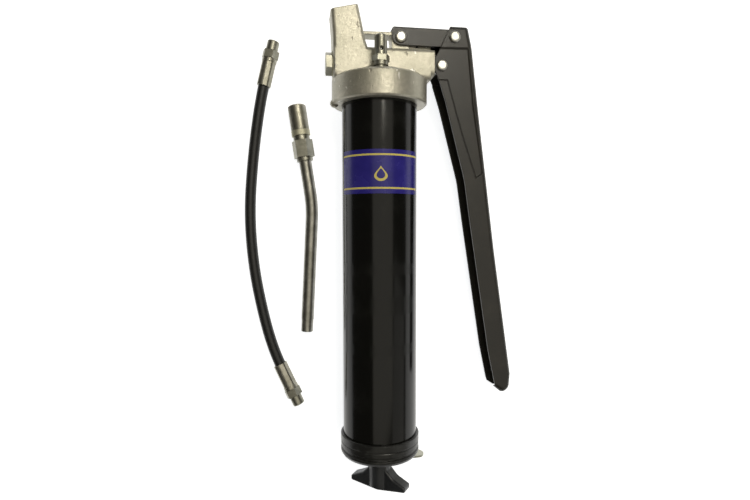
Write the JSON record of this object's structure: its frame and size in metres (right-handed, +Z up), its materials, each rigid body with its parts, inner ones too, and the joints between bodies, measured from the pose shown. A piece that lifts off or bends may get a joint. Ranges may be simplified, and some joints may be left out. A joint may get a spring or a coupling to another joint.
{
  "type": "lever grease gun",
  "caption": "Hand lever grease gun: cast pump head on a black barrel with a T-handle rod, pressed lever and link, beside a short hose and a bent pipe with coupler.",
  "frame": {"origin": "centre of the bounding box of everything but the hose, on the floor the gun lies on", "axes": "+Y along the barrel towards the pump head, +X towards the lever, +Z up from the floor"},
  "size_m": [0.2187, 0.369, 0.0724],
  "materials": {
    "cast_alloy": "as-cast, satin",
    "barrel_enamel": "gloss black enamel",
    "cap_black": "satin black",
    "label_vinyl": "gloss vinyl",
    "lever_black": "satin black",
    "rivet_zinc": "bright zinc",
    "plated_fitting": "zinc plated",
    "plated_sleeve": "zinc plated, turned",
    "plated_tube": "zinc plated",
    "brass_trim": "pale passivated",
    "steel_ground": "ground",
    "spring_steel": "drawn wire",
    "steel_plate": "zinc plated sheet",
    "seal_rubber": "matte",
    "hose_rubber": "satin",
    "handle_plastic": "moulded, satin"
  },
  "bodies": {
    "gun": {"head_casting": "cast_alloy", "barrel_gasket": "seal_rubber", "bore_end_plug": "plated_fitting", "plug_washer": "brass_trim", "check_spring": "spring_steel", "plunger_seal": "seal_rubber", "loader_fitting": "plated_fitting", "loader_spring": "spring_steel", "barrel_tube": "barrel_enamel", "barrel_label": "label_vinyl", "end_cap": "cap_black", "follower_spring": "spring_steel", "latch_rivet": "rivet_zinc", "latch_spring": "spring_steel"},
    "plunger": {"plunger_rod": "steel_ground"},
    "lever": {"lever_channel": "lever_black", "lever_rivet_upper": "rivet_zinc", "lever_rivet_lower": "rivet_zinc"},
    "link": {"link_channel": "lever_black", "link_rivet": "rivet_zinc"},
    "follower": {"follower_cup": "seal_rubber", "follower_front_plate": "steel_plate", "follower_back_plate": "steel_plate"},
    "rod": {"follower_rod": "steel_ground", "rod_nut": "steel_plate", "t_handle": "handle_plastic"},
    "latch": {"latch_plate": "steel_plate"},
    "check_valve": {"check_ball": "steel_ground"},
    "loader_valve": {"loader_valve": "steel_ground"},
    "hose": {"hose_tube": "hose_rubber", "hose_ferrule_upper": "plated_sleeve", "hose_ferrule_lower": "plated_sleeve", "hose_fitting_upper": "plated_fitting", "hose_fitting_lower": "plated_fitting"},
    "extension": {"extension_tube": "plated_tube", "coupler_collar": "plated_fitting", "coupler_body": "plated_fitting", "coupler_sleeve": "plated_sleeve", "coupler_ring": "brass_trim", "coupler_spring": "spring_steel"},
    "coupler_grip": {"coupler_jaws": "steel_ground", "coupler_seal": "seal_rubber"}
  },
  "joints": [
    {"name": "plunger_slide", "type": "slide", "parent": "gun", "child": "plunger", "axis": [0.9767, 0.0044, -0.2143], "range_m": [0, 0.0198]},
    {"name": "lever_pivot", "type": "hinge", "parent": "plunger", "child": "lever", "pos_m": [0.03223, 0.14376, 0.02676], "axis": [0.2144, -0.02, 0.9765], "range_deg": [0, 50]},
    {"name": "link_pivot", "type": "hinge", "parent": "lever", "child": "link", "pos_m": [0.04161, 0.1649, 0.02514], "axis": [0.2144, -0.02, 0.9765], "range_deg": [-50.5, 0.5]},
    {"name": "follower_slide", "type": "slide", "parent": "gun", "child": "follower", "axis": [0, -0.9998, -0.0205], "range_m": [0, 0.19], "stiffness_N_per_m": 150, "springref_m": -0.1, "deforming": ["follower_spring"]},
    {"name": "rod_spin", "type": "hinge", "parent": "follower", "child": "rod", "pos_m": [-0.01309, -0.03646, 0.03301], "axis": [0, 0.9998, 0.0205], "continuous": true},
    {"name": "latch_tilt", "type": "hinge", "parent": "gun", "child": "latch", "pos_m": [-0.02732, -0.15643, 0.03528], "axis": [0.3153, -0.0195, 0.9488], "range_deg": [0, 4], "stiffness_Nm_per_rad": 0.08, "springref_deg": -11.46, "deforming": ["latch_spring"]},
    {"name": "check_ball_lift", "type": "slide", "parent": "gun", "child": "check_valve", "axis": [-0.9767, -0.0044, 0.2143], "range_m": [0, 0.0015], "stiffness_N_per_m": 300, "springref_m": -0.005, "deforming": ["check_spring"]},
    {"name": "loader_valve_push", "type": "slide", "parent": "gun", "child": "loader_valve", "axis": [0, -0.9998, -0.0205], "range_m": [0, 0.002], "stiffness_N_per_m": 500, "springref_m": -0.003, "deforming": ["loader_spring"]},
    {"name": "hose_lift", "type": "slide", "parent": "gun", "child": "hose", "axis": [0, 0, 1], "range_m": [0, 0.1]},
    {"name": "extension_lift", "type": "slide", "parent": "gun", "child": "extension", "axis": [0, 0, 1], "range_m": [0, 0.1]},
    {"name": "coupler_grip_slide", "type": "slide", "parent": "extension", "child": "coupler_grip", "axis": [0.1505, -0.9885, -0.0164], "range_m": [0, 0.0012], "stiffness_N_per_m": 2000, "springref_m": -0.002, "deforming": ["coupler_spring"]}
  ],
  "couplings": [
    {"joint": "plunger_slide", "follows": "lever_pivot", "m_per_rad": 0.0225},
    {"joint": "link_pivot", "follows": "lever_pivot", "ratio": -1}
  ]
}
